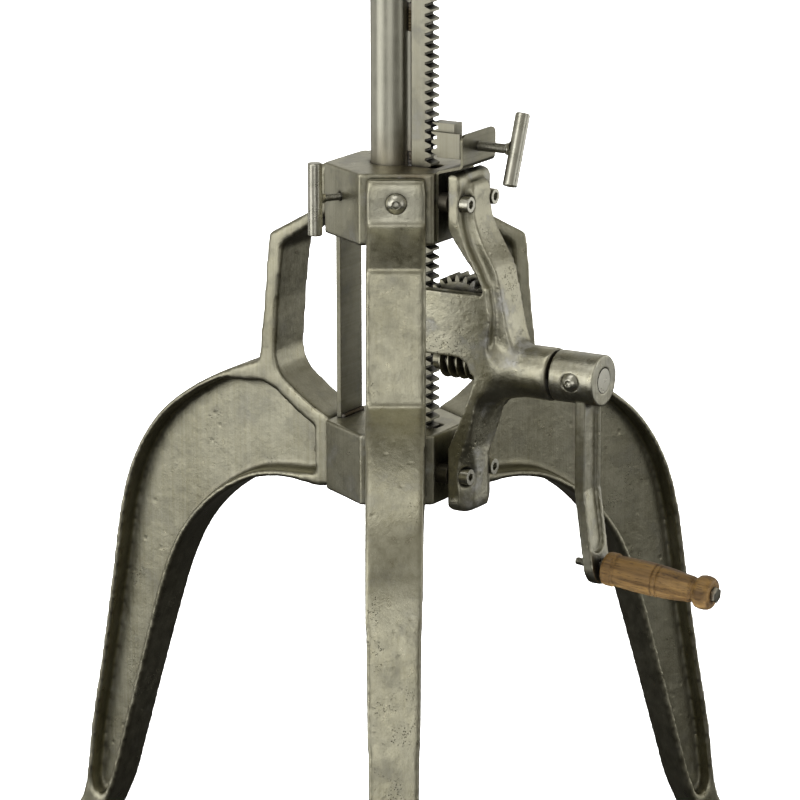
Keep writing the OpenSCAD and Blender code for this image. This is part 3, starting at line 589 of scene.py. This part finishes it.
def castings():
    screw_low = centre("bracket_screws_lower").z
    for node, seed in (("upper_collar", 3), ("lower_collar", 4)):
        cast(node, COLLAR, 0.0011, 5, grain=0.00016, seed=seed)
    for node, azimuth, seed in (("leg_front", 270, 11), ("leg_right", 30, 12),
                                ("leg_left", 150, 13)):
        a = math.radians(azimuth)
        way = Vector((math.cos(a), math.sin(a), 0))
        side = Vector((-math.sin(a), math.cos(a), 0)) * 0.02
        pores = [
            (way * 0.205 + side * 0.3 + UP * 0.40, 0.045, 14, 0.0013, 0.0006),
            (way * 0.205 - side * 0.3 + UP * 0.40, 0.045, 14, 0.0013, 0.0006),
            (way * 0.28 + UP * 0.27, 0.06, 40, 0.0012, 0.0005),
            (way * 0.31 + UP * 0.13, 0.06, 40, 0.0012, 0.0005),
        ]
        pad = way * PAD_X + UP * (COLLAR_TOP - 0.0035)
        top = ([pad + side * s for s in (-1, -0.6, -0.2, 0.2, 0.6, 1)], 0.011, 50)
        cast(node, CAST_LEG, 0.0016, 22, grain=0.00013, blends=[top], pores=pores, seed=seed)
    root = BOSS - OUT * 0.045
    pores = [
        (root + UP * 0.085, 0.03, 46, 0.0011, 0.0007),
        (BOSS - OUT * 0.04 + UP * 0.04, 0.03, 30, 0.0010, 0.0005),
        (root.xy.to_3d() + UP * (screw_low + 0.03), 0.04, 46, 0.0010, 0.0005),
    ]
    cast("gear_bracket", CAST_ROUGH, 0.0011, 6, grain=0.00016, pores=pores, seed=21,
         blends=[([root + UP * 0.012], 0.040, 60), ([root - UP * 0.022], 0.036, 60),
                 (rib_sides(), 0.010, 60)])
    cast("crank_arm", HUB, 0.0009, 3, grain=0.00016,
         blends=[([BOSS + OUT * 0.024 - UP * 0.024], 0.016, 24)], seed=31)


# ---------- turned and cut parts ----------

def plain_parts():
    for node, material, edge in (
            ("spacer_bar", PLATE, 0.0006), ("column_tube", TUBE_LOOK, 0.0005),
            ("rack", RACK, 0.00014), ("top_plate", PLATE, 0.001),
            ("top_plate_gussets", PLATE, 0.0006), ("column_end_plug", PLASTIC, 0.0006),
            ("bracket_spacers_upper", SPACER, 0.0004), ("bracket_spacers_lower", SPACER, 0.0004),
            ("bracket_screws_upper", SCREW, 0.0005), ("bracket_screws_lower", SCREW, 0.0005),
            ("leg_upper_screws", SCREW, 0.0003), ("leg_lower_screws", SCREW, 0.0003),
            ("shaft_bushes", BRONZE, 0.0003), ("wheel_axle", SCREW, 0.0006),
            ("axle_clip", SPACER, 0.0002), ("worm_wheel", GEAR, 0.0003),
            ("wheel_washers", SPACER, 0.0002), ("worm", GEAR, 0.0002),
            ("crank_shaft", SCREW, 0.0006), ("worm_pin", SPACER, 0.0003),
            ("thrust_washer", BRONZE, 0.0002), ("shaft_collar", SPACER, 0.0004),
            ("hub_screw", SCREW, 0.0003), ("grip_washer", SPACER, 0.0003),
            ("pawl_bracket", PLATE, 0.0007), ("pawl_nut", SCREW, 0.0006),
            ("pawl_block", RACK, 0.0006)):
        machined(node, material, edge)


# ---------- locking screws and the grip's bolt ----------

def rod_with_thread(node, axis, radius, pitch, plain_to):
    """A screw rod: threaded, then turned plain for its last stretch before the T-bar."""
    low, high = span(node, axis)
    origin = foot_of(node, axis)
    thread = threaded(node, origin, axis, low, high - plain_to, radius, pitch)
    made(thread, node + "_thread", BODY_OF[node], SLOT_OF[node], SCREW, [node])
    turned_r = radius * 0.97
    plain = turned(node, [(high - plain_to - 0.0005, radius * 0.86), (high - plain_to, turned_r),
                          (high, turned_r)], origin, axis, 40)
    made(plain, node + "_plain", BODY_OF[node], SLOT_OF[node], SCREW)


def t_bar(node, rod, axis):
    """A round bar with chamfered ends and a welded, flared root for its rod."""
    machined(node, SCREW, 0.0012)
    rod_axis_end = span(rod, axis)[1]
    rod_r = (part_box(rod)[1].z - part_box(rod)[0].z) / 2
    origin = foot_of(rod, axis)
    # where the flare starts, how long it is and how far it widens
    back, reach, spread = 0.0032, 0.0052, 0.0026
    flare = []
    for k in range(9):
        s = k / 8
        flare.append((rod_axis_end - back + reach * s, rod_r * 1.02 + spread * s ** 2.0))
    mesh = turned(node + "_weld", flare, origin, axis, 40, stretch=(1.18, 0.80), side=UP)
    made(mesh, node + "_weld", BODY_OF[node], SLOT_OF[node], SCREW)


def wooden_grip():
    """Turned grip: collar ring, barrel with two grooves, neck and flat-ended bead."""
    low, high = span("wood_grip", GRIP_AXIS)
    origin = foot_of("grip_bolt", GRIP_AXIS)
    length = high - low
    full = GRIP_R
    profile = [(0, 0.0050), (0.0002, full - 0.0022), (0.0012, full - 0.0006), (0.003, full)]
    profile += [(0.0085, full), (0.0095, full - 0.0004), (0.0104, full - 0.0016),
                (0.0113, full - 0.0018), (0.0122, full - 0.0012)]
    barrel_from, barrel_to = 0.0135, length - 0.0185
    groove_at, groove_deep, groove_wide = (0.50, 0.57), 0.0009, 0.0007
    for k in range(61):
        s = k / 60
        swell = full - 0.0011 + 0.0009 * math.sin(math.pi * min(1, s * 1.15)) - 0.0021 * s ** 3
        for g in groove_at:
            away = (s - g) * (barrel_to - barrel_from)
            swell -= groove_deep * math.exp(-(away / groove_wide) ** 2)
        profile.append((barrel_from + (barrel_to - barrel_from) * s, swell))
    neck = full - 0.0046
    profile += [(length - 0.0172, neck + 0.0005), (length - 0.0160, neck),
                (length - 0.0148, neck + 0.0005),
                (length - 0.0138, full - 0.0022), (length - 0.0122, full - 0.0007),
                (length - 0.0090, full + 0.0001), (length - 0.0050, full),
                (length - 0.0024, full - 0.0006), (length - 0.0007, full - 0.0017),
                (length - 0.0001, full - 0.0030), (length, full - 0.0055)]
    mesh = turned("wood_grip", [(low + a, r) for a, r in profile], origin, GRIP_AXIS, 72)
    made(mesh, "wood_grip_turned", "grip", "grip_wood", WOOD, ["wood_grip"], smooth=60)


def grip_bolt():
    """The bolt the grip turns on: threaded end in the arm, plain shank, hexagon head."""
    low, high = span("grip_bolt", GRIP_AXIS)
    origin = foot_of("grip_bolt", GRIP_AXIS)
    inner = span("wood_grip", GRIP_AXIS)[0]
    seat = high - BOLT_HEAD
    shank = BOLT_R * 0.98
    plain = turned("grip_bolt", [(inner, shank), (seat + 0.0005, shank)], origin, GRIP_AXIS, 32)
    made(plain, "grip_bolt_plain", "crank", "screw_steel", SCREW, ["grip_bolt"])
    thread = threaded("grip_bolt_thread", origin, GRIP_AXIS, low, inner + 0.001, BOLT_R,
                      pitch=0.0012)
    made(thread, "grip_bolt_thread", "crank", "screw_steel", SCREW)
    corner = BOLT_FLATS / math.sqrt(3)
    head = turned("grip_bolt_head", [(seat, corner), (high - 0.0006, corner), (high, corner * 0.9)],
                  origin, GRIP_AXIS, 6, side=-UP)
    made(head, "grip_bolt_head", "crank", "screw_steel", SCREW, smooth=20)


# ---------- welds ----------

def welds():
    middle = centre("spacer_bar")
    face = span("spacer_bar", OUT)[1]
    half = (span("spacer_bar", ACROSS)[1] - span("spacer_bar", ACROSS)[0]) / 2
    place = middle - OUT * middle.dot(OUT) + OUT * face
    for number, (z, way) in enumerate(((COLLAR_LOW, 1), (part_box("upper_collar")[0].z, -1))):
        base = Vector((place.x, place.y, z)) + UP * (0.0009 * way) + OUT * 0.0004
        points = [base + ACROSS * (half * s) for s in (-0.96, -0.3, 0.3, 0.96)]
        mesh = bead(f"spacer_bar_bead_{number}", points, 0.0021, 41 + number)
        made(mesh, f"spacer_bar_bead_{number}", "base", "weld_steel", WELD,
             ["spacer_bar_welds"] if number == 0 else (), smooth=0)
    # Tack welds that hold the rack to the tube
    heights = sorted({round(v.co.z, 4) for v in NODES["rack_weld_tabs"].data.vertices})
    back = span("rack_weld_tabs", OUT)
    axis_y = centre("rack_weld_tabs").dot(ACROSS)
    seat = OUT * ((back[0] + back[1]) / 2) + ACROSS * axis_y
    tabs = [(heights[i], heights[i + 1]) for i in range(0, len(heights) - 1, 2)]
    for number, (low, high) in enumerate(tabs):
        points = [seat + UP * (low + 0.002 + (high - low - 0.004) * k / 3) for k in range(4)]
        mesh = bead(f"rack_tack_{number}", points, 0.0034, 51 + number)
        made(mesh, f"rack_tack_{number}", "column", "weld_steel", WELD,
             ["rack_weld_tabs"] if number == 0 else (), smooth=0)
    # Fillet round the tube's end under the plate
    ring = [Vector((TUBE.x, TUBE.y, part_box("top_plate")[0].z - 0.0012))
            + Vector((math.cos(a), math.sin(a), 0)) * (TUBE_R + 0.0008)
            for a in (math.tau * k / 40 for k in range(41))]
    mesh = bead("top_plate_bead", ring, 0.0024, 61)
    made(mesh, "top_plate_bead", "column", "weld_steel", WELD, smooth=0)


castings()
plain_parts()
rod_with_thread("collar_screw", LOCK_OUT, radius=0.003, pitch=0.0012, plain_to=0.001)
rod_with_thread("pawl_screw", OUT, radius=0.004, pitch=0.00125, plain_to=0.002)
t_bar("collar_t_bar", "collar_screw", LOCK_OUT)
t_bar("pawl_t_bar", "pawl_screw", OUT)
wooden_grip()
grip_bolt()
welds()


# ---------- floor, light and camera ----------

def floor():
    """A pale sweep that rises far behind the object."""
    front, depth, width, rise, bend = -12.0, 7.0, 14.0, 2.5, 1.2
    profile = [(front, 0.0), (depth - bend, 0.0)]
    profile += [(depth - bend + bend * math.sin(a), bend - bend * math.cos(a))
                for a in (math.pi / 2 * k / 10 for k in range(1, 11))]
    profile.append((depth, rise))
    bm = bmesh.new()
    rows = [[bm.verts.new((x, y, z)) for x in (-width, width)] for y, z in profile]
    for a, b in zip(rows, rows[1:]):
        bm.faces.new((a[0], a[1], b[1], b[0]))
    mesh = bpy.data.meshes.new("floor")
    bm.to_mesh(mesh)
    bm.free()
    mesh.shade_smooth()
    piece = piece_from(mesh, "floor")
    look = Look("floor_white", 0.0, Specular_IOR_Level=0.0)
    tone = look.blend(look.noise(0.7, 2, 0.5), rgb(0.90, 0.90, 0.90), rgb(0.93, 0.93, 0.93))
    piece.data.materials.append(look.set(tone, look.span(look.noise(3, 2, 0.5), 0, 1, 0.8, 0.95)))
    # The metal mirrors the lights and the dim room, not the white floor
    piece.visible_glossy = False
    piece.visible_shadow = False
    return piece


def softbox(name, place, target, size, brightness, colour=(1, 1, 1)):
    """A rectangular light; brightness is the radiance of its face."""
    light = bpy.data.lights.new(name, "AREA")
    light.shape = "RECTANGLE"
    light.size, light.size_y = size
    light.energy = brightness * math.pi * size[0] * size[1]
    light.color = colour
    lamp = bpy.data.objects.new(name, light)
    lamp.visible_camera = False
    bpy.context.scene.collection.objects.link(lamp)
    lamp.location = place
    lamp.rotation_euler = (Vector(target) - Vector(place)).to_track_quat("-Z", "Y").to_euler()
    return lamp


def studio_world():
    """Dim room: a little light from above, almost none from below."""
    world = bpy.data.worlds.new("studio")
    bpy.context.scene.world = world
    world.use_nodes = True
    tree = world.node_tree
    background = tree.nodes["Background"]
    background.inputs["Color"].default_value = rgb(1.0, 0.97, 0.88)
    way = tree.nodes.new("ShaderNodeTexCoord")
    split = tree.nodes.new("ShaderNodeSeparateXYZ")
    height = tree.nodes.new("ShaderNodeMapRange")
    below, above, dimmest, brightest = -0.5, 0.6, 0.03, 0.36
    for number, value in enumerate((below, above, dimmest, brightest), start=1):
        height.inputs[number].default_value = value
    tree.links.new(way.outputs["Generated"], split.inputs[0])
    tree.links.new(split.outputs["Z"], height.inputs[0])
    tree.links.new(height.outputs[0], background.inputs["Strength"])


def lights(stage):
    studio_world()
    softbox("key", (-2.3, -2.5, 1.9), (0, 0, 0.5), (1.7, 1.9), 1.9)
    softbox("left", (-3.5, -1.7, 0.4), (0, 0, 0.45), (2.6, 2.3), 1.6)
    softbox("left_back", (-3.3, 2.0, 0.4), (0, 0, 0.5), (2.2, 2.0), 0.6)
    softbox("front", (-0.4, -4.6, 0.65), (0, 0, 0.5), (2.2, 1.8), 1.75)
    softbox("top", (-0.6, -0.6, 2.9), (0, 0, 0.5), (1.6, 1.6), 1.35)
    softbox("back", (0, 3.7, 1.9), (0, 0, 0.6), (3.2, 1.3), 0.65)
    softbox("right", (3.3, 1.3, 0.6), (0, 0, 0.5), (2.6, 2.0), 1.0)
    softbox("right_front", (2.7, -1.6, 0.7), (0, 0, 0.5), (0.8, 1.9), 1.25)
    sweep = softbox("sweep", (0, 2.6, 3.2), (0, 2.6, 0), (7.0, 6.0), 5.0)
    lit = bpy.data.collections.new("stage_only")
    lit.objects.link(stage)
    sweep.light_linking.receiver_collection = lit


def camera():
    """Long lens, looking a little down on the front leg."""
    place = (0.04489, -3.59339, 1.33467)
    pan, down, roll = 0.683, 14.125, -0.123    # degrees
    lens = bpy.data.cameras.new("camera")
    lens.sensor_width = 36.0
    lens.lens = 202.53
    lens.clip_end = 40
    eye = bpy.data.objects.new("camera", lens)
    bpy.context.scene.collection.objects.link(eye)
    turn = (Matrix.Rotation(math.radians(pan), 4, "Z")
            @ Matrix.Rotation(math.radians(90 - down), 4, "X")
            @ Matrix.Rotation(math.radians(roll), 4, "Z"))
    eye.matrix_world = Matrix.Translation(place) @ turn
    bpy.context.scene.camera = eye


lights(floor())
camera()
bpy.context.scene.view_settings.view_transform = "Standard"
